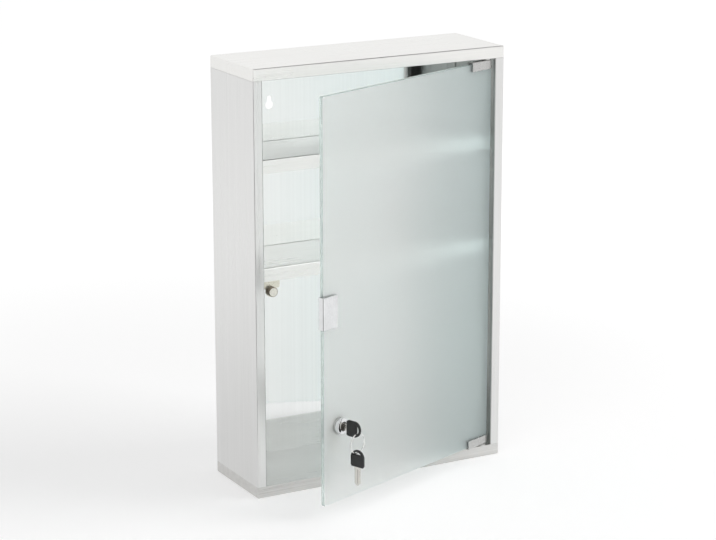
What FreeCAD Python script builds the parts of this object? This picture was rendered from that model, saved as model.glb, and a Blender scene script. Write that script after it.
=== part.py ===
import FreeCAD, Part
import math
import os

# Wall medicine cabinet of folded stainless sheet with a frosted glass door.
# Millimetres, +Z up, the door faces -Y and the wall is at +Y.
# The model is laid out with x = 0 at mid width, y = 0 on the wall plane and z = 0 at the base.
# It is moved once, when it is written, so that the origin lies midway between the two
# keyholes, on the rear face of the back panel.

V = FreeCAD.Vector
X = V(1, 0, 0)
Y = V(0, 1, 0)
Z = V(0, 0, 1)

# Carcass
WIDTH = 300.0
DEPTH = 100.0
HEIGHT = 460.0
SHEET = 0.8
BEND = 1.5
SEAM_ROUND = 0.4
STILE = 11.0
TOP_RAIL = 13.0
BOTTOM_RAIL = 12.5
JAMB = 12.0
REAR_FLANGE = 10.0
BASE_RETURN = 10.0
WELD_LAP = 6.0
WELD_TONGUE = 9.0
WELD_INSET = 4.0

# Keyholes in the back panel
KEYHOLE_SPACING = 164.0
KEYHOLE_DROP = 59.0
KEYHOLE_HEAD = 9.0
KEYHOLE_SLOT = 5.0
KEYHOLE_RISE = 7.5

# Shelves
UPPER_SHELF_DROP = 98.0
LOWER_SHELF_RISE = 247.0
SHELF_SETBACK = 13.0
SHELF_LIP = 14.5
SHELF_FLANGE = 10.0

# Door glass
DOOR_AJAR = 20.5
GLASS = 4.0
GLASS_SETBACK = 2.5
GLASS_CORNER = 2.0
GLASS_BEVEL = 0.5
FREE_GAP = 2.3
HINGE_GAP = 2.0

# Hinge clips, pins and bushes
HINGE_INSET = 9.0
CLIP_LENGTH = 32.0
CLIP_JAW = 8.0
CLIP_WALL = 1.2
CLIP_BEYOND_PIN = 5.0
PAD = 0.5
PIN_D = 4.0
PIN_LENGTH = 7.0
PIN_CLEARANCE = 0.05
BUSH_WALL = 1.2
BUSH_LENGTH = 4.5
BUSH_FLANGE_D = 9.0
BUSH_FLANGE = 0.8
HINGE_PLAY = 0.5
SET_SCREW_D = 4.0
SET_SCREW_PROUD = 0.6
SET_SCREW_SOCKET = 2.0
CLIP_SCREWS = (9.0, 20.0)

# Pull on the free edge
PULL_LENGTH = 21.0
PULL_HEIGHT = 34.0
PULL_BEND = 1.8
PULL_FRONT_PAD = 1.6
PULL_SCREW_OFFSET = 11.5
PULL_SCREW_INSET = 10.0

# Magnetic catch under the lower shelf
CATCH_INSET = 12.0
CATCH_DROP = 10.8
CATCH_GAP = 0.3
CATCH_D = 10.5
CATCH_ROUND = 0.4
MAGNET_D = 9.1
MAGNET_LENGTH = 3.0
CATCH_PLATE = 1.2
CATCH_PLATE_WIDTH = 20.0
CATCH_PLATE_RISE = 2.7
CATCH_SEAT_D = 12.5
CATCH_PLATE_LAP = 11.0
RIVET_D = 3.0
RIVET_HEAD_D = 6.0
RIVET_HEAD = 1.2
RIVET_GRIP = 1.2

# Cam lock
LOCK_INSET = 26.2
LOCK_RISE = 97.0
LOCK_HEAD_D = 18.0
LOCK_HEAD = 4.0
LOCK_HEAD_ROUND = 1.2
LOCK_BARREL_D = 14.0
LOCK_GASKET = 0.4
LOCK_HOLE_ROOM = 0.5
WASHER_D = 20.0
WASHER = 0.6
NUT_FLATS = 19.0
NUT = 3.0
PLUG_D = 10.0
PLUG_CLEARANCE = 0.05
PLUG_RECESS = 0.3
PLUG_END = 4.9
KEY_ROOM = 0.2
WAFER = 0.8
WAFER_WIDTH = 3.8
WAFER_COUNT = 4
WAFER_PITCH = 2.6
WAFER_FIRST = 4.2
WAFER_ROOM = 0.08
CAM = 1.5
CAM_REACH = 35.5
CAM_HUB_D = 15.0
CAM_ARM = 11.0
CAM_CRANK_START = 10.5
CAM_CRANK_RUN = 6.0
CAM_BEND = 2.2
CAM_PLAY = 0.1
CAM_STILE_GAP = 0.4
TAIL_D = 7.0
TAIL_FLATS = 5.0
CAM_SCREW_D = 3.0
CAM_SCREW_LENGTH = 4.0
CAM_SCREW_HEAD_D = 8.5
CAM_SCREW_HEAD = 1.8

# Keys and ring
BLADE_LENGTH = 20.0
BLADE_WIDTH = 7.0
BLADE = 1.8
BLADE_TIP = 2.4
BLADE_GROOVE = 1.5
BLADE_GROOVE_DEPTH = 0.55
BLADE_GROOVE_OFFSET = 1.3
BLADE_CUT = 0.8
BLADE_CUT_PITCH = 2.6
BLADE_CUT_COUNT = 5
TANG_LENGTH = 7.0
TANG_WIDTH = 5.0
BOW_START = 8.9
BOW_LENGTH = 18.2
BOW_WIDTH = 17.0
BOW = 3.2
BOW_SHOULDER = 14.6
BOW_TAPER = 2.0
BOW_SIDE = 11.0
BOW_ROUND = 0.9
SLOT_WIDTH = 3.0
SLOT_RIM = 2.0
SLOT_CORNER = 0.4
RING_D = 21.0
RING_WIRE = 1.2
RING_RIM_GAP = 0.3
RING_SIDE_GAP = 0.3
SPARE_GAP = 0.45

# Places worked out from the sizes
FRONT = -DEPTH
LEFT_EDGE = -WIDTH / 2 + STILE
RIGHT_EDGE = WIDTH / 2 - STILE
OPENING_TOP = HEIGHT - TOP_RAIL
BACK_FACE = -SHEET
BACK_INNER = -2 * SHEET
KEYHOLE_Z = HEIGHT - KEYHOLE_DROP

DOOR_GAP = BUSH_FLANGE + HINGE_PLAY + CLIP_WALL + PAD
GLASS_LEFT = LEFT_EDGE + FREE_GAP
GLASS_RIGHT = RIGHT_EDGE - HINGE_GAP
GLASS_BOTTOM = BOTTOM_RAIL + DOOR_GAP
GLASS_TOP = OPENING_TOP - DOOR_GAP
GLASS_FRONT = FRONT + GLASS_SETBACK
GLASS_REAR = GLASS_FRONT + GLASS
GLASS_MID = GLASS_FRONT + GLASS / 2
HINGE_X = RIGHT_EDGE - HINGE_INSET
CLIP_HALF = GLASS / 2 + PAD + CLIP_WALL
BUSH_BORE = PIN_D + 2 * PIN_CLEARANCE
BUSH_D = BUSH_BORE + 2 * BUSH_WALL

UPPER_SHELF_Z = HEIGHT - UPPER_SHELF_DROP
SHELF_FRONT = FRONT + SHELF_SETBACK
CATCH_X = GLASS_LEFT + CATCH_INSET
CATCH_Z = LOWER_SHELF_RISE - SHELF_LIP - CATCH_DROP
CATCH_FACE = GLASS_MID + CLIP_HALF + CATCH_GAP
CATCH_SEAT = SHELF_FRONT + SHEET

LOCK_X = GLASS_LEFT + LOCK_INSET
LOCK_FRONT = GLASS_FRONT - LOCK_GASKET - LOCK_HEAD
LOCK_DEPTH = BLADE_LENGTH - BOW_START + PLUG_END
BARREL_REAR = GLASS_FRONT + LOCK_DEPTH
CAM_FRONT = BARREL_REAR + CAM_PLAY
CAM_TIP_FRONT = FRONT + JAMB + CAM_STILE_GAP
KEYWAY_WIDTH = BLADE + 2 * KEY_ROOM
KEYWAY_HEIGHT = BLADE_WIDTH + 2 * KEY_ROOM

# The bow's far end is an arc through its two side corners and its tip.
BOW_ARC_R = ((BOW_WIDTH / 2) ** 2 + (BOW_LENGTH - BOW_SIDE) ** 2) / (2 * (BOW_LENGTH - BOW_SIDE))
BOW_ARC_U = BOW_LENGTH - BOW_ARC_R
SLOT_ARC_R = BOW_ARC_R - SLOT_RIM
SLOT_START = BOW_LENGTH - SLOT_RIM - SLOT_WIDTH
SLOT_HALF = math.sqrt(SLOT_ARC_R ** 2 - (SLOT_START - BOW_ARC_U) ** 2)

# The ring hangs round the rim at the lower end of the slot, RIM_V below the lock's axis.
RING_U = SLOT_START + RING_WIRE / 2 + RING_SIDE_GAP
RIM_TOP = math.sqrt(SLOT_ARC_R ** 2 - (RING_U - BOW_ARC_U) ** 2)
RIM_BOTTOM = math.sqrt(BOW_ARC_R ** 2 - (RING_U - BOW_ARC_U) ** 2)
RIM_V = (RIM_TOP + RIM_BOTTOM) / 2
RIM_REACH = math.hypot(BOW / 2 - BOW_ROUND, (RIM_BOTTOM - RIM_TOP) / 2 - BOW_ROUND) + BOW_ROUND
RING_OUT = BOW_START + RING_U
RING_Y = GLASS_FRONT - RING_OUT
RING_Z = LOCK_RISE - RIM_V + RIM_REACH + RING_RIM_GAP + RING_WIRE / 2 - RING_D / 2
SPARE_U = BOW_LENGTH - SLOT_RIM - SPARE_GAP - RING_WIRE / 2
SPARE_Z = RING_Z - RING_D / 2 - SPARE_U


def box(x0, x1, y0, y1, z0, z1):
    return Part.makeBox(x1 - x0, y1 - y0, z1 - z0, V(x0, y0, z0))


def rod(diameter, start, end):
    axis = end - start
    return Part.makeCylinder(diameter / 2, axis.Length, start, axis)


def prism(edges, push):
    return Part.Face(Part.Wire(Part.__sortEdges__(edges))).extrude(push)


def line(a, b):
    return Part.LineSegment(a, b).toShape()


def arc(a, middle, b):
    return Part.Arc(a, middle, b).toShape()


def closed(points):
    return [line(a, b) for a, b in zip(points, points[1:] + points[:1])]


def edges_where(shape, test):
    return [e for e in shape.Edges if test(e.BoundBox)]


def flat_in(bound, axis, place):
    spans = {"x": (bound.XMin, bound.XMax), "y": (bound.YMin, bound.YMax), "z": (bound.ZMin, bound.ZMax)}
    return all(abs(end - place) < 1e-4 for end in spans[axis])


def corner_path(points, radii):
    """Edges of an open path of straight runs, rounded at its inner points."""
    edges = []
    at = points[0]
    for before, corner, after, radius in zip(points, points[1:], points[2:], radii):
        come = (corner - before).normalize()
        go = (after - corner).normalize()
        turn = come.getAngle(go)
        if radius > 1e-6:
            cut = radius * math.tan(turn / 2)
            start = corner - come * cut
            end = corner + go * cut
            inward = (go - come).normalize()
            middle = corner + inward * (radius / math.cos(turn / 2) - radius)
            edges.append(line(at, start))
            edges.append(arc(start, middle, end))
            at = end
        else:
            edges.append(line(at, corner))
            at = corner
    edges.append(line(at, points[-1]))
    return edges


def folded(points, normal, thickness, bend, length):
    """Sheet folded along a path, lying on the left of the path seen against the normal."""
    runs = [(b - a).normalize() for a, b in zip(points, points[1:])]
    sides = [normal.cross(run) for run in runs]
    other = [points[0] + sides[0] * thickness]
    near_radii = []
    far_radii = []
    for corner, run, side, next_run, next_side in zip(points[1:], runs, sides, runs[1:], sides[1:]):
        half = run.getAngle(next_run) / 2
        other.append(corner + (side + next_side).normalize() * (thickness / math.cos(half)))
        towards_sheet = normal.dot(run.cross(next_run)) > 0
        near_radii.append(bend if towards_sheet else bend - thickness)
        far_radii.append(bend - thickness if towards_sheet else bend)
    other.append(points[-1] + sides[-1] * thickness)
    near = corner_path(points, near_radii)
    far = corner_path(other, far_radii)
    ends = [line(points[0], other[0]), line(points[-1], other[-1])]
    return prism(near + far + ends, normal * length)


def mirrored(shape):
    return shape.mirror(V(0, 0, 0), X)


def cap_shell(z0, z1, seam_z):
    """Closed tray over the whole plan, with small rounds at its seam and bend rounds elsewhere."""
    half = WIDTH / 2
    block = box(-half, half, FRONT, 0, z0, z1)
    bends = edges_where(block, lambda b: not flat_in(b, "z", seam_z))
    block = block.makeFillet(BEND, bends)
    block = block.makeFillet(SEAM_ROUND, edges_where(block, lambda b: flat_in(b, "z", seam_z)))
    hollow = box(-half + SHEET, half - SHEET, FRONT + SHEET, -SHEET, z0 + SHEET, z1 - SHEET)
    return block.cut(hollow.makeFillet(BEND - SHEET, hollow.Edges))


def hinge_point(z):
    return V(HINGE_X, GLASS_MID, z)


def hinge_bush_hole(z0, z1):
    return rod(BUSH_D, hinge_point(z0), hinge_point(z1))


def top_cap():
    shell = cap_shell(OPENING_TOP, HEIGHT, OPENING_TOP)
    inside = WIDTH / 2 - SHEET
    mouth = box(-inside, inside, FRONT + JAMB, -SHEET, OPENING_TOP - BEND, OPENING_TOP + BEND)
    hole = hinge_bush_hole(OPENING_TOP - BEND, OPENING_TOP + BEND)
    return shell.cut(mouth).cut(hole)


def bottom_cap():
    shell = cap_shell(0, BOTTOM_RAIL, BOTTOM_RAIL)
    inside = WIDTH / 2 - BASE_RETURN
    mouth = box(-inside, inside, FRONT + BASE_RETURN, -BASE_RETURN, -BEND, BEND)
    hole = hinge_bush_hole(BOTTOM_RAIL - BEND, BOTTOM_RAIL + BEND)
    return shell.cut(mouth).cut(hole)


def left_side_panel():
    """Rear flange, side, stile and stile return in one fold, with its weld tongue and foot."""
    outer = -WIDTH / 2
    path = [
        V(outer + REAR_FLANGE, 0, BOTTOM_RAIL),
        V(outer, 0, BOTTOM_RAIL),
        V(outer, FRONT, BOTTOM_RAIL),
        V(LEFT_EDGE, FRONT, BOTTOM_RAIL),
        V(LEFT_EDGE, FRONT + JAMB, BOTTOM_RAIL),
    ]
    panel = folded(path, Z, SHEET, BEND, OPENING_TOP - BOTTOM_RAIL)
    face = outer + SHEET
    near = FRONT + JAMB + WELD_INSET
    far = BACK_INNER - WELD_INSET
    tongue = box(face, face + SHEET, near, far, OPENING_TOP - WELD_LAP, OPENING_TOP + WELD_TONGUE)
    foot = box(face, face + WELD_LAP, near, far, BOTTOM_RAIL, BOTTOM_RAIL + SHEET)
    return panel.fuse(tongue).fuse(foot).removeSplitter()


def keyhole(x):
    head = rod(KEYHOLE_HEAD, V(x, BACK_INNER - SHEET, KEYHOLE_Z), V(x, 0, KEYHOLE_Z))
    top = KEYHOLE_Z + KEYHOLE_RISE
    slot = box(x - KEYHOLE_SLOT / 2, x + KEYHOLE_SLOT / 2, BACK_INNER - SHEET, 0, KEYHOLE_Z, top)
    end = rod(KEYHOLE_SLOT, V(x, BACK_INNER - SHEET, top), V(x, 0, top))
    return head.fuse(slot).fuse(end)


def back_panel():
    half = WIDTH / 2 - BEND
    panel = box(-half, half, BACK_INNER, BACK_FACE, BOTTOM_RAIL, OPENING_TOP + WELD_TONGUE)
    for x in (-KEYHOLE_SPACING / 2, KEYHOLE_SPACING / 2):
        panel = panel.cut(keyhole(x))
    return panel


def shelf(top):
    """Pan with a deep front lip and shallower flanges at its sides and back."""
    inside = WIDTH / 2 - SHEET
    bottom = top - SHELF_LIP
    block = box(-inside, inside, SHELF_FRONT, BACK_INNER, bottom, top)
    rounds = edges_where(block, lambda b: flat_in(b, "z", top) or b.ZLength > SHELF_LIP / 2)
    block = block.makeFillet(BEND, rounds)
    within = inside - SHEET
    hollow = box(-within, within, SHELF_FRONT + SHEET, BACK_INNER - SHEET, bottom - SHEET, top - SHEET)
    bends = edges_where(hollow, lambda b: flat_in(b, "z", top - SHEET) or b.ZLength > SHELF_LIP / 2)
    hollow = hollow.makeFillet(BEND - SHEET, bends)
    below_flange = box(-inside, inside, SHELF_FRONT + BEND, BACK_INNER, bottom - SHEET, top - SHELF_FLANGE)
    return block.cut(hollow).cut(below_flange)


def hinge_bush(seat_z, out):
    """Flanged bush whose flange lies on the frame at seat_z, with its tube leading along out."""
    seat = hinge_point(seat_z)
    flange = rod(BUSH_FLANGE_D, seat - Z * (out * BUSH_FLANGE), seat)
    tube = rod(BUSH_D, seat, seat + Z * (out * BUSH_LENGTH))
    hole = rod(BUSH_BORE, seat - Z * (out * 2 * BUSH_FLANGE), seat + Z * (out * 2 * BUSH_LENGTH))
    return flange.fuse(tube).cut(hole).removeSplitter()


def catch_bracket():
    """Tab that hangs behind the shelf's lip and ends in a round seat for the housing."""
    left = CATCH_X - CATCH_PLATE_WIDTH / 2
    low = CATCH_Z + CATCH_PLATE_RISE
    high = LOWER_SHELF_RISE - SHELF_LIP + CATCH_PLATE_LAP
    plate = box(left, left + CATCH_PLATE_WIDTH, CATCH_SEAT, CATCH_SEAT + CATCH_PLATE, low, high)
    corners = edges_where(plate, lambda b: b.YLength > CATCH_PLATE / 2 and flat_in(b, "z", low))
    plate = plate.makeFillet(RIVET_D, corners)
    middle = V(CATCH_X, CATCH_SEAT, CATCH_Z)
    seat = rod(CATCH_SEAT_D, middle, middle + Y * CATCH_PLATE)
    return plate.fuse(seat).removeSplitter().cut(catch_shank())


def catch_shank():
    start = V(CATCH_X, CATCH_SEAT - RIVET_GRIP, CATCH_Z)
    return rod(RIVET_D, start, V(CATCH_X, CATCH_SEAT + CATCH_PLATE, CATCH_Z))


def catch_magnet():
    face = V(CATCH_X, CATCH_FACE, CATCH_Z)
    return rod(MAGNET_D, face, face + Y * MAGNET_LENGTH)


def catch_housing():
    cup = rod(CATCH_D, V(CATCH_X, CATCH_FACE, CATCH_Z), V(CATCH_X, CATCH_SEAT, CATCH_Z))
    rim = edges_where(cup, lambda b: flat_in(b, "y", CATCH_FACE))
    cup = cup.makeFillet(CATCH_ROUND, rim)
    return cup.cut(catch_magnet()).cut(catch_shank())


def catch_rivet():
    seat = V(CATCH_X, CATCH_SEAT + CATCH_PLATE, CATCH_Z)
    head = rod(RIVET_HEAD_D, seat, seat + Y * RIVET_HEAD)
    head = head.makeFillet(RIVET_HEAD / 2, edges_where(head, lambda b: flat_in(b, "y", seat.y + RIVET_HEAD)))
    return head.fuse(catch_shank()).removeSplitter()


def door_glass():
    sheet = box(GLASS_LEFT, GLASS_RIGHT, GLASS_FRONT, GLASS_REAR, GLASS_BOTTOM, GLASS_TOP)
    sheet = sheet.makeFillet(GLASS_CORNER, edges_where(sheet, lambda b: b.YLength > GLASS / 2))
    rims = edges_where(sheet, lambda b: flat_in(b, "y", GLASS_FRONT) or flat_in(b, "y", GLASS_REAR))
    sheet = sheet.makeChamfer(GLASS_BEVEL, rims)
    hole = LOCK_BARREL_D + 2 * LOCK_HOLE_ROOM
    return sheet.cut(rod(hole, lock_point(GLASS_FRONT - GLASS), lock_point(GLASS_REAR + GLASS)))


def lock_point(y):
    return V(LOCK_X, y, LOCK_RISE)


def clip_screw_places(glass_edge, inward):
    """Places of the two set screws through the rear jaw of a hinge clip."""
    z = glass_edge + inward * CLIP_JAW / 2
    return [(HINGE_X - inset, z) for inset in CLIP_SCREWS]


def pull_screw_places():
    x = GLASS_LEFT + PULL_SCREW_INSET
    return [(x, CATCH_Z - PULL_SCREW_OFFSET), (x, CATCH_Z + PULL_SCREW_OFFSET)]


def screw_hole(x, z):
    pad_face = GLASS_REAR + PAD
    return rod(SET_SCREW_D, V(x, pad_face, z), V(x, pad_face + CLIP_WALL, z))


def set_screws(places):
    """Socket set screws that press on the pad behind the glass."""
    start = GLASS_REAR + PAD
    end = start + CLIP_WALL + SET_SCREW_PROUD
    screws = []
    for x, z in places:
        shank = rod(SET_SCREW_D, V(x, start, z), V(x, end, z))
        screws.append(shank.cut(hexagon(SET_SCREW_SOCKET, V(x, end - CLIP_WALL, z), CLIP_WALL)))
    return Part.makeCompound(screws)


def hexagon(flats, start, length):
    radius = flats / math.sqrt(3)
    turns = [math.radians(60 * k) for k in range(6)]
    points = [start + V(radius * math.cos(a), 0, radius * math.sin(a)) for a in turns]
    return prism(closed(points), Y * length)


def hinge_pin(glass_edge, out):
    inner = glass_edge + out * PAD
    base = hinge_point(inner)
    pin = rod(PIN_D, base, base + Z * (out * PIN_LENGTH))
    tip = inner + out * PIN_LENGTH
    return pin.makeChamfer(PIN_D / 8, edges_where(pin, lambda b: flat_in(b, "z", tip)))


def hinge_clip(glass_edge, out):
    """Channel folded over the edge of the glass, with the pin's hole and its screw holes."""
    start = HINGE_X + CLIP_BEYOND_PIN - CLIP_LENGTH
    web = glass_edge + out * (PAD + CLIP_WALL)
    jaw = glass_edge - out * CLIP_JAW
    sides = [GLASS_MID - CLIP_HALF, GLASS_MID + CLIP_HALF]
    if out > 0:
        sides.reverse()
    corners = [(sides[0], jaw), (sides[0], web), (sides[1], web), (sides[1], jaw)]
    path = [V(start, y, z) for y, z in corners]
    clip = folded(path, X, CLIP_WALL, CLIP_WALL, CLIP_LENGTH)
    clip = clip.cut(hinge_pin(glass_edge, out))
    for x, z in clip_screw_places(glass_edge, -out):
        clip = clip.cut(screw_hole(x, z))
    return clip


def hinge_pad(glass_edge, out):
    start = HINGE_X + CLIP_BEYOND_PIN - CLIP_LENGTH
    low, high = sorted((glass_edge + out * PAD, glass_edge - out * CLIP_JAW))
    half = GLASS / 2
    liner = box(start, start + CLIP_LENGTH, GLASS_MID - half - PAD, GLASS_MID + half + PAD, low, high)
    low, high = sorted((glass_edge, glass_edge - out * 2 * CLIP_JAW))
    return liner.cut(box(start, start + CLIP_LENGTH, GLASS_MID - half, GLASS_MID + half, low, high))


def door_pull():
    """Channel folded over the free edge of the glass, level with the catch."""
    bottom = CATCH_Z - PULL_HEIGHT / 2
    web = GLASS_LEFT - PAD - CLIP_WALL
    end = web + PULL_LENGTH
    front = GLASS_FRONT - PULL_FRONT_PAD - CLIP_WALL
    rear = GLASS_MID + CLIP_HALF
    path = [V(end, rear, bottom), V(web, rear, bottom), V(web, front, bottom), V(end, front, bottom)]
    pull = folded(path, Z, CLIP_WALL, PULL_BEND, PULL_HEIGHT)
    for x, z in pull_screw_places():
        pull = pull.cut(screw_hole(x, z))
    return pull


def pull_pad():
    bottom = CATCH_Z - PULL_HEIGHT / 2
    end = GLASS_LEFT - PAD - CLIP_WALL + PULL_LENGTH
    top = bottom + PULL_HEIGHT
    web = GLASS_LEFT - PAD
    liner = box(web, end, GLASS_FRONT - PULL_FRONT_PAD, GLASS_REAR + PAD, bottom, top)
    corners = edges_where(liner, lambda b: flat_in(b, "x", web) and b.ZLength > PULL_HEIGHT / 2)
    liner = liner.makeFillet(PULL_BEND - CLIP_WALL, corners)
    return liner.cut(box(GLASS_LEFT, end, GLASS_FRONT, GLASS_REAR, bottom, top))


def ring_disc(outer, inner, y0, y1):
    return rod(outer, lock_point(y0), lock_point(y1)).cut(rod(inner, lock_point(y0), lock_point(y1)))


def lock_housing():
    """Turned head and barrel with the bore for the plug."""
    seat = GLASS_FRONT - LOCK_GASKET
    head = rod(LOCK_HEAD_D, lock_point(LOCK_FRONT), lock_point(seat))
    head = head.makeFillet(LOCK_HEAD_ROUND, edges_where(head, lambda b: flat_in(b, "y", LOCK_FRONT)))
    barrel = rod(LOCK_BARREL_D, lock_point(seat), lock_point(BARREL_REAR))
    bore = rod(PLUG_D + 2 * PLUG_CLEARANCE, lock_point(LOCK_FRONT), lock_point(BARREL_REAR))
    return head.fuse(barrel).cut(bore).removeSplitter()


def lock_gasket():
    return ring_disc(LOCK_HEAD_D, LOCK_BARREL_D, GLASS_FRONT - LOCK_GASKET, GLASS_FRONT)


def lock_washer():
    return ring_disc(WASHER_D, LOCK_BARREL_D, GLASS_REAR, GLASS_REAR + WASHER)


def lock_nut():
    seat = GLASS_REAR + WASHER
    thread = rod(LOCK_BARREL_D, lock_point(seat), lock_point(seat + NUT))
    return hexagon(NUT_FLATS, lock_point(seat), NUT).cut(thread)


def keyway(y0, y1):
    half = KEYWAY_WIDTH / 2
    tall = KEYWAY_HEIGHT / 2
    return box(LOCK_X - half, LOCK_X + half, y0, y1, LOCK_RISE - tall, LOCK_RISE + tall)


def wafer_places():
    first = LOCK_FRONT + WAFER_FIRST
    return [first + WAFER_PITCH * k for k in range(WAFER_COUNT)]


def plug_tail(y0, y1):
    """Round tail with two flats, which the cam's hole fits."""
    half = TAIL_FLATS / 2
    flats = box(LOCK_X - half, LOCK_X + half, y0, y1, LOCK_RISE - TAIL_D, LOCK_RISE + TAIL_D)
    return rod(TAIL_D, lock_point(y0), lock_point(y1)).common(flats)


def lock_plug():
    """Plug with its keyway, wafer slots and a flatted tail for the cam."""
    front = LOCK_FRONT + PLUG_RECESS
    plug = rod(PLUG_D, lock_point(front), lock_point(CAM_FRONT))
    plug = plug.fuse(plug_tail(CAM_FRONT, CAM_FRONT + CAM))
    plug = plug.cut(keyway(front, GLASS_FRONT - BOW_START + BLADE_LENGTH + KEY_ROOM))
    half = WAFER_WIDTH / 2 + WAFER_ROOM
    for y in wafer_places():
        plug = plug.cut(box(LOCK_X - half, LOCK_X + half, y - WAFER_ROOM, y + WAFER + WAFER_ROOM,
                            LOCK_RISE - PLUG_D, LOCK_RISE + PLUG_D))
    return plug.cut(cam_screw_shank())


def lock_wafers():
    half = WAFER_WIDTH / 2
    tall = math.sqrt((PLUG_D / 2) ** 2 - half ** 2) - WAFER_ROOM
    wafers = []
    for y in wafer_places():
        plate = box(LOCK_X - half, LOCK_X + half, y, y + WAFER, LOCK_RISE - tall, LOCK_RISE + tall)
        wafers.append(plate.cut(keyway(y - WAFER, y + 2 * WAFER)))
    return Part.makeCompound(wafers)


def cam_screw_shank():
    end = CAM_FRONT + CAM
    return rod(CAM_SCREW_D, lock_point(end - CAM_SCREW_LENGTH), lock_point(end))


def lock_cam():
    """Cranked cam that points down when unlocked and reaches behind the stile when turned."""
    hub = CAM_HUB_D / 2
    rear = CAM_FRONT + CAM
    tip_rear = CAM_TIP_FRONT + CAM
    start = LOCK_X - CAM_HUB_D
    path = [
        V(start, rear, LOCK_RISE + hub),
        V(start, rear, LOCK_RISE - CAM_CRANK_START),
        V(start, tip_rear, LOCK_RISE - CAM_CRANK_START - CAM_CRANK_RUN),
        V(start, tip_rear, LOCK_RISE - CAM_REACH),
    ]
    strip = folded(path, -X, CAM, CAM_BEND, -2 * CAM_HUB_D)
    y0 = min(CAM_FRONT, CAM_TIP_FRONT) - CAM
    y1 = max(CAM_FRONT, CAM_TIP_FRONT) + 2 * CAM
    half = CAM_ARM / 2
    end = LOCK_RISE - CAM_REACH + half
    arm = box(LOCK_X - half, LOCK_X + half, y0, y1, end, LOCK_RISE)
    tip = rod(CAM_ARM, V(LOCK_X, y0, end), V(LOCK_X, y1, end))
    outline = rod(CAM_HUB_D, lock_point(y0), lock_point(y1)).fuse(arm).fuse(tip)
    return strip.common(outline).cut(plug_tail(y0, y1)).removeSplitter()


def cam_screw():
    seat = CAM_FRONT + CAM
    head = rod(CAM_SCREW_HEAD_D, lock_point(seat), lock_point(seat + CAM_SCREW_HEAD))
    rim = edges_where(head, lambda b: flat_in(b, "y", seat + CAM_SCREW_HEAD))
    head = head.makeFillet(CAM_SCREW_HEAD / 2, rim)
    return head.fuse(cam_screw_shank()).removeSplitter()


# Each key is drawn standing, blade down and bow up, with its shoulder at the origin,
# its width along Y and its thickness along X.
def bow_point(v, u):
    return V(-BOW / 2, v, u)


def key_slot():
    """Lens between a straight side and an arc that follows the bow's far end."""
    ends = [bow_point(-SLOT_HALF, SLOT_START), bow_point(SLOT_HALF, SLOT_START)]
    far = bow_point(0, BOW_LENGTH - SLOT_RIM)
    lens = prism([line(ends[0], ends[1]), arc(ends[0], far, ends[1])], X * BOW)
    return lens.makeFillet(SLOT_CORNER, edges_where(lens, lambda b: b.XLength > BOW / 2))


def key_head():
    shoulder = BOW_SHOULDER / 2
    wide = BOW_WIDTH / 2
    right = [bow_point(shoulder, 0), bow_point(wide, BOW_TAPER), bow_point(wide, BOW_SIDE)]
    left = [bow_point(-shoulder, 0), bow_point(-wide, BOW_TAPER), bow_point(-wide, BOW_SIDE)]
    edges = [line(left[0], right[0]), arc(left[2], bow_point(0, BOW_LENGTH), right[2])]
    for side in (left, right):
        edges += [line(side[0], side[1]), line(side[1], side[2])]
    bow = prism(edges, X * BOW).cut(key_slot())
    rims = edges_where(bow, lambda b: flat_in(b, "x", -BOW / 2) or flat_in(b, "x", BOW / 2))
    return bow.makeFillet(BOW_ROUND, rims).cut(key_tang())


def key_tang():
    return box(-BLADE / 2, BLADE / 2, -TANG_WIDTH / 2, TANG_WIDTH / 2, 0, TANG_LENGTH)


def key_blade():
    """Flat blade with a pointed tip, a groove down each face and shallow cuts in both edges."""
    half = BLADE_WIDTH / 2
    low = -BLADE_LENGTH

    def at(v, u):
        return V(-BLADE / 2, v, u)
    blunt = half - BLADE_TIP
    corners = [at(-half, 0), at(half, 0), at(half, low + BLADE_TIP), at(blunt, low), at(-blunt, low),
               at(-half, low + BLADE_TIP)]
    blade = prism(closed(corners), X * BLADE)
    wide = BLADE_GROOVE / 2
    for side in (-1, 1):
        face = side * BLADE / 2
        mid = side * BLADE_GROOVE_OFFSET
        deep = BLADE_GROOVE_DEPTH
        blade = blade.cut(box(face - deep, face + deep, mid - wide, mid + wide, low, -BLADE_TIP))
    for k in range(BLADE_CUT_COUNT):
        u = low + 2 * BLADE_TIP + BLADE_CUT_PITCH * k
        for edge, bottom in ((half, half - BLADE_CUT), (-half, BLADE_CUT - half)):
            notch = [at(edge, u - BLADE_CUT), at(bottom, u), at(edge, u + BLADE_CUT)]
            blade = blade.cut(prism(closed(notch), X * BLADE))
    return blade.fuse(key_tang()).removeSplitter()


def in_lock(shape):
    """The key as it sits in the lock, with its bow towards the front."""
    placed = shape.copy()
    placed.rotate(V(0, 0, 0), X, 90)
    placed.translate(lock_point(GLASS_FRONT - BOW_START))
    return placed


def on_ring(shape):
    """The key as it hangs from the ring."""
    placed = shape.copy()
    placed.translate(V(LOCK_X, RING_Y, SPARE_Z))
    return placed


def key_ring():
    return Part.makeTorus(RING_D / 2, RING_WIRE / 2, V(LOCK_X, RING_Y, RING_Z), Y)


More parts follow.
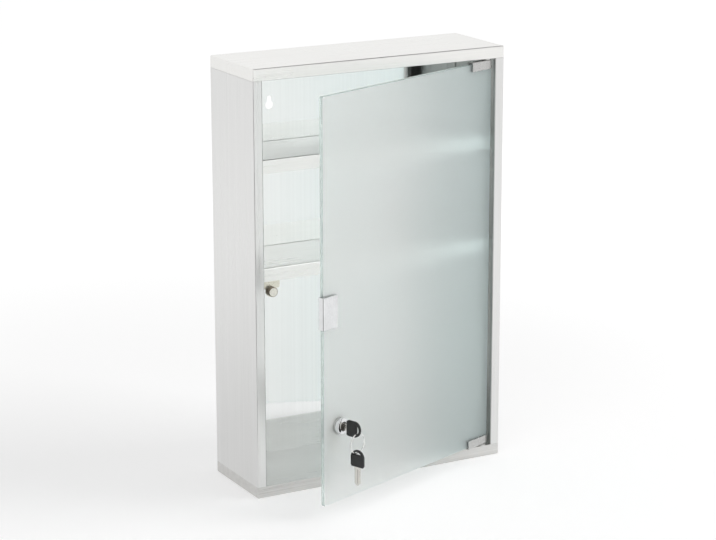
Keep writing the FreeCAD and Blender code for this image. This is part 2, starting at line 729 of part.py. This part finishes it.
cabinet = {
    "top_cap": top_cap(),
    "bottom_cap": bottom_cap(),
    "left_side_panel": left_side_panel(),
    "right_side_panel": mirrored(left_side_panel()),
    "back_panel": back_panel(),
    "upper_shelf": shelf(UPPER_SHELF_Z),
    "lower_shelf": shelf(LOWER_SHELF_RISE),
    "upper_hinge_bush": hinge_bush(OPENING_TOP, 1),
    "lower_hinge_bush": hinge_bush(BOTTOM_RAIL, -1),
    "catch_bracket": catch_bracket(),
    "catch_housing": catch_housing(),
    "catch_magnet": catch_magnet(),
    "catch_rivet": catch_rivet(),
}
door = {
    "door_glass": door_glass(),
    "upper_hinge_clip": hinge_clip(GLASS_TOP, 1),
    "lower_hinge_clip": hinge_clip(GLASS_BOTTOM, -1),
    "upper_hinge_pin": hinge_pin(GLASS_TOP, 1),
    "lower_hinge_pin": hinge_pin(GLASS_BOTTOM, -1),
    "hinge_pads": Part.makeCompound([hinge_pad(GLASS_TOP, 1), hinge_pad(GLASS_BOTTOM, -1)]),
    "hinge_set_screws": set_screws(clip_screw_places(GLASS_TOP, -1) + clip_screw_places(GLASS_BOTTOM, 1)),
    "door_pull": door_pull(),
    "pull_pad": pull_pad(),
    "pull_set_screws": set_screws(pull_screw_places()),
    "lock_housing": lock_housing(),
    "lock_gasket": lock_gasket(),
    "lock_washer": lock_washer(),
    "lock_nut": lock_nut(),
    "lock_plug": lock_plug(),
    "lock_wafers": lock_wafers(),
    "lock_cam": lock_cam(),
    "cam_screw": cam_screw(),
    "key_blade": in_lock(key_blade()),
    "key_head": in_lock(key_head()),
    "key_ring": key_ring(),
    "spare_key_blade": on_ring(key_blade()),
    "spare_key_head": on_ring(key_head()),
}

# The door stands ajar, and everything it carries turns with it about the hinge pins.
for shape in door.values():
    shape.rotate(hinge_point(0), Z, DOOR_AJAR)

os.makedirs("parts", exist_ok=True)
for name, shape in {**cabinet, **door}.items():
    shape.translate(V(0, -BACK_FACE, -KEYHOLE_Z))
    shape.exportStep("parts/" + name + ".step")
    print(name, len(shape.Solids), shape.isValid(), round(shape.Volume, 1))
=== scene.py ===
"""Looks for the glass-doored medicine cabinet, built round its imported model. Metres, +Z up."""

import math

import bmesh
import bpy
from mathutils import Matrix, Vector


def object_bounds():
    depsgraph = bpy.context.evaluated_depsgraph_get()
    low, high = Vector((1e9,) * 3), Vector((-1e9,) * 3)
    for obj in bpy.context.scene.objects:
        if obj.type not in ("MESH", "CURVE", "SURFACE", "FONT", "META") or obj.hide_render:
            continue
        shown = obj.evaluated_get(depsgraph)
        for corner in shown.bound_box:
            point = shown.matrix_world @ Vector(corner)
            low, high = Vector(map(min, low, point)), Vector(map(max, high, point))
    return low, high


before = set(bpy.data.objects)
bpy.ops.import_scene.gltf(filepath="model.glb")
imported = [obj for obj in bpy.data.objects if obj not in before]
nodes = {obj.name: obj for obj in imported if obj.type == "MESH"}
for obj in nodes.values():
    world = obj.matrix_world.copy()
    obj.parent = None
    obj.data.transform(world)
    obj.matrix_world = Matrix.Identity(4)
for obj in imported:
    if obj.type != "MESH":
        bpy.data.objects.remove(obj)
cad_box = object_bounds()

# The cabinet at rest: the Y of its front, a point in its middle, and the angle of the open door
FRONT_PLANE = -0.0992
CABINET_MIDDLE = (0.0, -0.05, -0.17)
DOOR_AJAR = math.radians(20.5)

# Camera, fitted to the photograph's box corners
CAMERA_PLACE = Vector((-1.1845, -2.1929, 0.4698))
CAMERA_TARGET = Vector((-0.0288, FRONT_PLANE, -0.1658))
CAMERA_ROLL = math.radians(-0.08)
CAMERA_LENS = 117.8

# Floor: the share of light it gives back, and its own glow, which grows with the distance from the cabinet;
# the lower glow near the cabinet is painted shade round its base
FLOOR_SIZE = 24.0
FLOOR_DROP = 0.0002
FLOOR_SHARE = 0.70
FLOOR_MIDDLE = (0.0, 0.0, 0.0)
FLOOR_NEAR = 0.35
FLOOR_FAR = 1.3
FLOOR_GLOW_NEAR = 0.39
FLOOR_GLOW_FAR = 0.54
# Where the key lamp lights the floor most, the floor needs less glow to read as white
BRIGHT_SPOT = (2.4, -1.7, 0.0)
BRIGHT_NEAR = 0.8
BRIGHT_FAR = 2.6
BRIGHT_LESS = 0.38
# Far away, where no lamp reaches, the floor needs more glow to meet the white world without a line
HORIZON_NEAR = 2.5
HORIZON_FAR = 6.0
HORIZON_MORE = 0.075

# World and lamps, in watts
WHITE = (1.0, 1.0, 1.0, 1.0)
WORLD_LIGHT = 0.56
KEY_PLACE = Vector((3.1, -2.1, 2.2))
KEY_SIZE = 2.4
KEY_POWER = 88.0
FILL_PLACE = Vector((-2.2, -1.8, 1.7))
FILL_SIZE = 2.0
FILL_POWER = 12.0

# Dark flags, seen only in reflections, which draw the lines along the front bends
FLAG_GREY = 0.04
SIDE_FLAG_PLACE = Vector((-0.230, -0.218, -0.19))
SIDE_FLAG_WIDTH = 0.093
SIDE_FLAG_HEIGHT = 0.44
TOP_FLAG_PLACE = Vector((0.26, -0.23, 0.56))
TOP_FLAG_WIDTH = 0.55
TOP_FLAG_HEIGHT = 0.50

# The floor and the flags are cards, made as a unit square of a few segments and scaled
CARD_SEGMENTS = 4
CARD_HALF = 0.5

# Patterns are noise over the object's own metres, of which the range from low to high is used
NOISE_LOW = 0.3
NOISE_HIGH = 0.7
NOISE_SKEW = (1.0, 1.7, 2.3)
# Sockets of a colour Mix node, whose names are shared by its other data types
MIX_LOW, MIX_HIGH, MIX_RESULT = 6, 7, 2

# Brushed sheet: lines per metre along and across the grain, their shares, smears, roughness and depth
GRAIN_X, GRAIN_Z = 0, 2
BROAD_GRAIN = (2.5, 190.0)
BROAD_SHARE = 0.4
FINE_GRAIN = (14.0, 1500.0)
FINE_SHARE = 0.6
SMEARS = (9.0, 9.0, 7.0)
BRUSHED_ROUGHNESS = (0.26, 0.34)
SMEAR_ROUGHNESS = (-0.03, 0.04)
BRUSHED_DEPTH = 0.00003

# Mirror sheet: lines along and across, slow waves, colours, roughness and depth of the waves
MIRROR_GRAIN = (1.5, 420.0)
MIRROR_WAVES = (11.0, 11.0, 6.0)
MIRROR_DARK = (0.83, 0.84, 0.835)
MIRROR_LIGHT = (0.86, 0.87, 0.865)
MIRROR_ROUGHNESS = (0.05, 0.07)
MIRROR_DEPTH = 0.0003

# Door glass: how square to the door a face must be to count as frosted, and how clear the milky front is
FACE_COSINE = 0.9
FRONT_CLARITY = 0.78
GLASS_IOR = 1.45
ETCH = (2600.0, 2600.0, 2600.0)
ETCH_DEPTH = 0.00002
FROSTED_ROUGHNESS = (0.45, 0.55)
EDGE_ROUGHNESS = (0.12, 0.2)
EDGE_GREEN = (0.74, 0.90, 0.86)
# The tint, in slow patches, deepens towards the hinge between two places along the door's width: painted
# shade of the darker inside behind that side of the door
TINT_START = -0.06
TINT_END = 0.09
TINT_PATCHES = (6.0, 6.0, 4.0)
PALE_TINTS = ((0.955, 0.995, 0.98), (0.985, 1.0, 0.992))
HINGE_SHADE_TINTS = ((0.86, 0.96, 0.955), (0.89, 0.975, 0.97))

# Small metal parts: fine marks and broader patches, in equal shares
MARKS = (700.0, 700.0, 700.0)
METAL_PATCHES = (90.0, 90.0, 90.0)
EQUAL_SHARE = 0.5
MARK_DEPTH = 0.00001

# Plastic and rubber: fine pits and broader patches
PITS = (1400.0, 1400.0, 1400.0)
PLASTIC_PATCHES = (60.0, 60.0, 60.0)
PIT_DEPTH = 0.00004

# Inner faces of the folded sheets, greyer than the outside: partly the mill finish and partly painted shade
# of the cabinet's inside; a dark and a light grey
MILL_AND_SHADE_SIDES = ((0.37, 0.37, 0.36), (0.45, 0.45, 0.44))
MILL_AND_SHADE_SHELVES = ((0.58, 0.58, 0.57), (0.68, 0.68, 0.67))
MILL_AND_SHADE_TOP = ((0.56, 0.56, 0.55), (0.66, 0.66, 0.65))
MILL_AND_SHADE_BASE = ((0.46, 0.46, 0.45), (0.54, 0.54, 0.53))

# Sheets: axis of the grain, dark and light colour outside, greys inside, and the nodes that have the
# finish; the one steel comes in lit and shaded copies, with painted light on the top cap and shelves,
# painted shade on the side panels, and the deepest painted shade on the bottom cap near the floor
SHEETS = {
    "satin_steel_upright_shaded": (GRAIN_Z, (0.70, 0.70, 0.692), (0.77, 0.77, 0.762), MILL_AND_SHADE_SIDES,
                            ("left_side_panel", "right_side_panel")),
    "satin_steel_top_lit": (GRAIN_X, (0.81, 0.805, 0.785), (0.87, 0.865, 0.845), MILL_AND_SHADE_TOP,
                        ("top_cap",)),
    "satin_steel_level_lit": (GRAIN_X, (0.80, 0.798, 0.78), (0.87, 0.868, 0.85), MILL_AND_SHADE_SHELVES,
                          ("upper_shelf", "lower_shelf")),
    # Darkest copy: painted shade of the base near the floor
    "satin_steel_base_shaded": (GRAIN_X, (0.55, 0.545, 0.53), (0.72, 0.715, 0.70), MILL_AND_SHADE_BASE,
                         ("bottom_cap",)),
}

# Small metal parts: dark and light colour, least and greatest roughness, and the nodes
METALS = {
    "chrome": ((0.66, 0.668, 0.675), (0.78, 0.788, 0.795), 0.05, 0.14,
               ("door_pull", "lock_housing")),
    # Near-black chrome: painted shade in the lock's recessed face
    "shaded_plug_chrome": ((0.06, 0.056, 0.052), (0.10, 0.095, 0.09), 0.16, 0.28,
                    ("lock_plug",)),
    "satin_nickel": ((0.45, 0.45, 0.44), (0.57, 0.57, 0.56), 0.22, 0.32,
                     ("upper_hinge_clip", "lower_hinge_clip")),
    "bright_magnet": ((0.66, 0.64, 0.58), (0.78, 0.76, 0.70), 0.20, 0.34,
                      ("catch_magnet",)),
    "yellow_plating": ((0.67, 0.65, 0.56), (0.75, 0.73, 0.64), 0.24, 0.36,
                       ("catch_bracket",)),
    "plated_steel": ((0.56, 0.55, 0.51), (0.68, 0.67, 0.63), 0.22, 0.36,
                     ("catch_rivet", "upper_hinge_pin", "lower_hinge_pin", "hinge_set_screws",
                      "pull_set_screws", "lock_washer", "lock_nut", "lock_wafers", "lock_cam",
                      "cam_screw")),
    "bright_wire": ((0.80, 0.80, 0.79), (0.90, 0.90, 0.89), 0.12, 0.24,
                    ("key_ring",)),
    "nickel_silver": ((0.60, 0.585, 0.55), (0.72, 0.705, 0.67), 0.18, 0.32,
                      ("key_blade", "spare_key_blade")),
}

# Plastic and rubber parts: the same columns
PLASTICS = {
    "nylon": ((0.72, 0.72, 0.70), (0.80, 0.80, 0.78), 0.38, 0.5,
              ("upper_hinge_bush", "lower_hinge_bush")),
    "black_plastic": ((0.008, 0.009, 0.009), (0.014, 0.015, 0.015), 0.36, 0.5,
                      ("key_head", "spare_key_head")),
    "brown_plastic": ((0.20, 0.165, 0.12), (0.28, 0.235, 0.18), 0.3, 0.45,
                      ("catch_housing",)),
    "rubber": ((0.020, 0.020, 0.020), (0.035, 0.035, 0.034), 0.6, 0.8,
               ("hinge_pads", "lock_gasket")),
    "grey_rubber": ((0.26, 0.27, 0.27), (0.34, 0.35, 0.35), 0.6, 0.8,
                    ("pull_pad",)),
}


class Shade:
    """A material with one surface shader, and short calls to add nodes and link them to it."""

    def __init__(self, name):
        self.material = bpy.data.materials.new(name)
        self.material.use_nodes = True
        self.tree = self.material.node_tree
        self.surface = self.tree.nodes["Principled BSDF"]

    def node(self, kind, **settings):
        """A new node with these properties set on it."""
        new = self.tree.nodes.new(kind)
        for name, value in settings.items():
            setattr(new, name, value)
        return new

    def link(self, output, socket):
        """A link from an output to a socket."""
        self.tree.links.new(output, socket)

    def set(self, **values):
        """Plain values on the surface shader, by socket name with underscores for spaces."""
        for name, value in values.items():
            self.surface.inputs[name.replace("_", " ")].default_value = value

    def place(self, name):
        """The position or normal in the object's own space, by the output's name."""
        return self.node("ShaderNodeTexCoord").outputs[name]

    def noise(self, frequency, detail, offset=0.0):
        """Noise over the object's own metres, with a frequency per metre along each axis."""
        place = self.node("ShaderNodeMapping")
        place.inputs["Scale"].default_value = frequency
        place.inputs["Location"].default_value = tuple(offset * skew for skew in NOISE_SKEW)
        cloud = self.node("ShaderNodeTexNoise")
        cloud.inputs["Scale"].default_value = 1.0
        cloud.inputs["Detail"].default_value = detail
        self.link(self.place("Object"), place.inputs["Vector"])
        self.link(place.outputs["Vector"], cloud.inputs["Vector"])
        return cloud.outputs["Fac"]

    def spread(self, value, low, high, start=NOISE_LOW, end=NOISE_HIGH, curve="LINEAR"):
        """Value, from start to end, stretched to run from low to high."""
        reach = self.node("ShaderNodeMapRange", interpolation_type=curve)
        for name, number in (("From Min", start), ("From Max", end), ("To Min", low), ("To Max", high)):
            reach.inputs[name].default_value = number
        self.link(value, reach.inputs["Value"])
        return reach.outputs["Result"]

    def maths(self, operation, first, second):
        """Two values, either of them a plain number, under one operation."""
        result = self.node("ShaderNodeMath", operation=operation)
        for socket, value in zip(result.inputs, (first, second)):
            if isinstance(value, (int, float)):
                socket.default_value = value
            else:
                self.link(value, socket)
        return result.outputs["Value"]

    def vectors(self, operation, first, second):
        """The node for an output and a vector or a second output, under one operation."""
        result = self.node("ShaderNodeVectorMath", operation=operation)
        self.link(first, result.inputs[0])
        if isinstance(second, (tuple, Vector)):
            result.inputs[1].default_value = second
        else:
            self.link(second, result.inputs[1])
        return result

    def mixture(self, first, first_share, second, second_share):
        """Two values in these shares."""
        weighed = self.maths("MULTIPLY", first, first_share)
        return self.maths("ADD", weighed, self.maths("MULTIPLY", second, second_share))

    def blend(self, share, low, high):
        """The colour low at share 0 and high at share 1, either of them a colour or an output."""
        mix = self.node("ShaderNodeMix", data_type="RGBA")
        self.link(share, mix.inputs["Factor"])
        for socket, colour in ((mix.inputs[MIX_LOW], low), (mix.inputs[MIX_HIGH], high)):
            if isinstance(colour, tuple):
                socket.default_value = (*colour, 1.0)
            else:
                self.link(colour, socket)
        return mix.outputs[MIX_RESULT]

    def inner_faces(self):
        """1 on faces that look towards the middle of the cabinet and 0 on the others."""
        outward = self.vectors("SUBTRACT", self.place("Object"), CABINET_MIDDLE)
        facing = self.vectors("DOT_PRODUCT", outward.outputs["Vector"], self.place("Normal"))
        return self.maths("LESS_THAN", facing.outputs["Value"], 0.0)

    def colour(self, output):
        """The surface's colour from an output."""
        self.link(output, self.surface.inputs["Base Color"])

    def roughness(self, output):
        """The surface's roughness from an output."""
        self.link(output, self.surface.inputs["Roughness"])

    def bump(self, height, depth):
        """Relief of that depth in metres from a height of 0 to 1."""
        relief = self.node("ShaderNodeBump")
        relief.inputs["Strength"].default_value = 1.0
        relief.inputs["Distance"].default_value = depth
        self.link(height, relief.inputs["Height"])
        self.link(relief.outputs["Normal"], self.surface.inputs["Normal"])


def grain(lines, axis):
    """Frequencies of a grain along one axis, 0 for X to 2 for Z, from those along and across it."""
    along, across = lines
    return tuple(along if i == axis else across for i in range(3))


def brushed_steel(name, axis, dark, light, mill_and_shade):
    """Stainless sheet, brushed along one axis outside, and inside left as rolled and greyer, which is
    partly painted shade of the cabinet's inside.
    """
    shade = Shade(name)
    shade.set(Metallic=1.0)
    broad = shade.noise(grain(BROAD_GRAIN, axis), detail=3.0)
    fine = shade.noise(grain(FINE_GRAIN, axis), detail=2.0, offset=3.1)
    streaks = shade.mixture(broad, BROAD_SHARE, fine, FINE_SHARE)
    smears = shade.noise(SMEARS, detail=4.0, offset=5.3)
    brushed = shade.blend(shade.spread(streaks, 0.0, 1.0), dark, light)
    # Painted shade: the inner faces take darker greys than the outside
    rolled_and_shaded = shade.blend(shade.spread(smears, 0.0, 1.0), *mill_and_shade)
    shade.colour(shade.blend(shade.inner_faces(), brushed, rolled_and_shaded))
    satin = shade.spread(streaks, *BRUSHED_ROUGHNESS)
    shade.roughness(shade.maths("ADD", satin, shade.spread(smears, *SMEAR_ROUGHNESS)))
    shade.bump(streaks, BRUSHED_DEPTH)
    return shade.material


def mirror_steel():
    """Bright-rolled stainless sheet: a mirror with faint rolling lines and a slight wave."""
    shade = Shade("mirror_steel")
    shade.set(Metallic=1.0)
    lines = shade.noise(grain(MIRROR_GRAIN, GRAIN_Z), detail=2.0, offset=1.3)
    wave = shade.noise(MIRROR_WAVES, detail=1.0, offset=4.7)
    shade.colour(shade.blend(shade.spread(lines, 0.0, 1.0), MIRROR_DARK, MIRROR_LIGHT))
    shade.roughness(shade.spread(lines, *MIRROR_ROUGHNESS))
    shade.bump(wave, MIRROR_DEPTH)
    return shade.material


def frosted_glass():
    """Etched safety glass with a milky front face and smooth green edges, darkened towards the hinge by
    painted shade.
    """
    shade = Shade("frosted_glass")
    shade.set(IOR=GLASS_IOR)
    outward = Vector((math.sin(DOOR_AJAR), -math.cos(DOOR_AJAR), 0.0))
    to_hinge = Vector((math.cos(DOOR_AJAR), math.sin(DOOR_AJAR), 0.0))
    square = shade.vectors("DOT_PRODUCT", shade.place("Normal"), outward).outputs["Value"]
    face = shade.maths("GREATER_THAN", shade.maths("ABSOLUTE", square, 0.0), FACE_COSINE)
    front = shade.maths("GREATER_THAN", square, FACE_COSINE)
    edge = shade.maths("SUBTRACT", 1.0, face)

    along = shade.vectors("DOT_PRODUCT", shade.place("Object"), to_hinge).outputs["Value"]
    # Painted shade: the glass darkens towards the hinge
    hinge_shade = shade.spread(along, 0.0, 1.0, TINT_START, TINT_END)
    patches = shade.spread(shade.noise(TINT_PATCHES, detail=3.0, offset=2.2), 0.0, 1.0)
    tint_and_hinge_shade = shade.blend(hinge_shade, shade.blend(patches, *PALE_TINTS), shade.blend(patches, *HINGE_SHADE_TINTS))
    shade.colour(shade.blend(face, EDGE_GREEN, tint_and_hinge_shade))

    etch = shade.noise(ETCH, detail=2.0)
    frosted = shade.spread(etch, *FROSTED_ROUGHNESS)
    smooth = shade.spread(etch, *EDGE_ROUGHNESS)
    shade.roughness(shade.mixture(face, frosted, edge, smooth))
    clarity = shade.spread(front, 1.0, FRONT_CLARITY, 0.0, 1.0)
    shade.link(clarity, shade.surface.inputs["Transmission Weight"])
    shade.bump(etch, ETCH_DEPTH)
    return shade.material


def plain_metal(name, dark, light, smooth, rough):
    """Small metal parts: a bright base with tumbling marks that vary its colour and gloss."""
    shade = Shade(name)
    shade.set(Metallic=1.0)
    marks = shade.noise(MARKS, detail=4.0)
    patches = shade.noise(METAL_PATCHES, detail=3.0, offset=2.9)
    worn = shade.mixture(marks, EQUAL_SHARE, patches, EQUAL_SHARE)
    shade.colour(shade.blend(shade.spread(worn, 0.0, 1.0), dark, light))
    shade.roughness(shade.spread(worn, smooth, rough))
    shade.bump(marks, MARK_DEPTH)
    return shade.material


def moulded(name, dark, light, smooth, rough):
    """Moulded plastic or rubber: a fine pitted skin with slight patches of colour."""
    shade = Shade(name)
    pits = shade.noise(PITS, detail=3.0)
    patches = shade.noise(PLASTIC_PATCHES, detail=3.0, offset=1.9)
    shade.colour(shade.blend(shade.spread(patches, 0.0, 1.0), dark, light))
    shade.roughness(shade.spread(pits, smooth, rough))
    shade.bump(pits, PIT_DEPTH)
    return shade.material


def dress():
    """Gives every node of the model its finish."""
    finishes = []
    for name, (axis, dark, light, mill_and_shade, wearers) in SHEETS.items():
        finishes.append((brushed_steel(name, axis, dark, light, mill_and_shade), wearers))
    finishes.append((mirror_steel(), ("back_panel",)))
    finishes.append((frosted_glass(), ("door_glass",)))
    for make, table in ((plain_metal, METALS), (moulded, PLASTICS)):
        for name, (dark, light, smooth, rough, wearers) in table.items():
            finishes.append((make(name, dark, light, smooth, rough), wearers))
    for material, wearers in finishes:
        for wearer in wearers:
            mesh = nodes[wearer].data
            mesh.materials.clear()
            mesh.materials.append(material)


def white_to_sight(tree):
    """An output that is 1 for rays from the camera, a reflection or a clear transmission."""
    path = tree.nodes.new("ShaderNodeLightPath")
    total = path.outputs["Is Camera Ray"]
    for name in ("Is Glossy Ray", "Is Transmission Ray"):
        either = tree.nodes.new("ShaderNodeMath")
        either.operation = "MAXIMUM"
        tree.links.new(total, either.inputs[0])
        tree.links.new(path.outputs[name], either.inputs[1])
        total = either.outputs["Value"]
    return total


def studio_world():
    """A white world to the eye and in reflections, which lights the object at a plain level."""
    world = bpy.data.worlds.new("studio")
    world.use_nodes = True
    bpy.context.scene.world = world
    tree = world.node_tree
    strength = tree.nodes.new("ShaderNodeMapRange")
    strength.inputs["To Min"].default_value = WORLD_LIGHT
    strength.inputs["To Max"].default_value = 1.0
    tree.links.new(white_to_sight(tree), strength.inputs["Value"])
    backdrop = tree.nodes["Background"]
    backdrop.inputs["Color"].default_value = WHITE
    tree.links.new(strength.outputs["Result"], backdrop.inputs["Strength"])


def matt_card(name, width, height, grey):
    """A flat rectangle with a matt grey surface: the object and its shade."""
    mesh = bpy.data.meshes.new(name)
    grid = bmesh.new()
    bmesh.ops.create_grid(grid, x_segments=CARD_SEGMENTS, y_segments=CARD_SEGMENTS, size=CARD_HALF)
    bmesh.ops.scale(grid, vec=(width, height, 1.0), verts=grid.verts)
    grid.to_mesh(mesh)
    grid.free()
    card = bpy.data.objects.new(name, mesh)
    bpy.context.scene.collection.objects.link(card)
    shade = Shade(name)
    shade.set(Base_Color=(grey, grey, grey, 1.0), Roughness=1.0)
    mesh.materials.append(shade.material)
    return card, shade


def glow_ramp(shade, centre, near, far, start, end):
    """A number that goes smoothly from start to end with the distance from a point of the floor."""
    reach = shade.vectors("DISTANCE", shade.place("Object"), centre)
    return shade.spread(reach.outputs["Value"], start, end, near, far, "SMOOTHSTEP")


def studio_floor():
    """A pale floor under the cabinet that reads as white and keeps its shadow."""
    floor, shade = matt_card("floor", FLOOR_SIZE, FLOOR_SIZE, FLOOR_SHARE)
    floor.location.z = cad_box[0][2] - FLOOR_DROP
    shade.set(Specular_IOR_Level=0.0, Emission_Color=WHITE)
    # Less glow near the cabinet: painted shade round its base
    around = glow_ramp(shade, FLOOR_MIDDLE, FLOOR_NEAR, FLOOR_FAR, FLOOR_GLOW_NEAR, FLOOR_GLOW_FAR)
    beyond = glow_ramp(shade, FLOOR_MIDDLE, HORIZON_NEAR, HORIZON_FAR, 0.0, HORIZON_MORE)
    bright = glow_ramp(shade, BRIGHT_SPOT, BRIGHT_NEAR, BRIGHT_FAR, -BRIGHT_LESS, 0.0)
    even = shade.maths("ADD", shade.maths("ADD", around, beyond), bright)
    glow = shade.maths("MULTIPLY", white_to_sight(shade.tree), even)
    shade.link(glow, shade.surface.inputs["Emission Strength"])


def aim(thing, place, target, roll=0.0):
    """Puts a camera, lamp or flag at a place, facing a target."""
    turn = (target - place).to_track_quat("-Z", "Y").to_matrix().to_4x4()
    thing.matrix_world = Matrix.Translation(place) @ turn @ Matrix.Rotation(roll, 4, "Z")


def soft_box(name, place, size, power):
    """A square lamp, aimed where the camera looks, which reflections don't show."""
    lamp = bpy.data.lights.new(name, "AREA")
    lamp.size = size
    lamp.energy = power
    holder = bpy.data.objects.new(name, lamp)
    bpy.context.scene.collection.objects.link(holder)
    holder.visible_glossy = False
    aim(holder, place, CAMERA_TARGET)


def dark_flag(name, place, target, width, height):
    """A dark card that faces a bend of the cabinet."""
    flag, _ = matt_card(name, width, height, FLAG_GREY)
    aim(flag, place, target)
    flag.visible_camera = False
    flag.visible_diffuse = False
    flag.visible_transmission = False
    flag.visible_shadow = False


def photo_camera():
    """The camera, placed and turned as the photograph's."""
    camera = bpy.data.cameras.new("photo_camera")
    camera.lens = CAMERA_LENS
    holder = bpy.data.objects.new("photo_camera", camera)
    bpy.context.scene.collection.objects.link(holder)
    aim(holder, CAMERA_PLACE, CAMERA_TARGET, CAMERA_ROLL)
    bpy.context.scene.camera = holder


bpy.context.scene.view_settings.view_transform = "Standard"
dress()
studio_world()
studio_floor()
soft_box("key_lamp", KEY_PLACE, KEY_SIZE, KEY_POWER)
soft_box("fill_lamp", FILL_PLACE, FILL_SIZE, FILL_POWER)
front_left = Vector((cad_box[0][0], FRONT_PLANE, SIDE_FLAG_PLACE.z))
dark_flag("side_flag", SIDE_FLAG_PLACE, front_left, SIDE_FLAG_WIDTH, SIDE_FLAG_HEIGHT)
front_top = Vector((0.0, FRONT_PLANE, cad_box[1][2]))
dark_flag("top_flag", TOP_FLAG_PLACE, front_top, TOP_FLAG_WIDTH, TOP_FLAG_HEIGHT)
photo_camera()
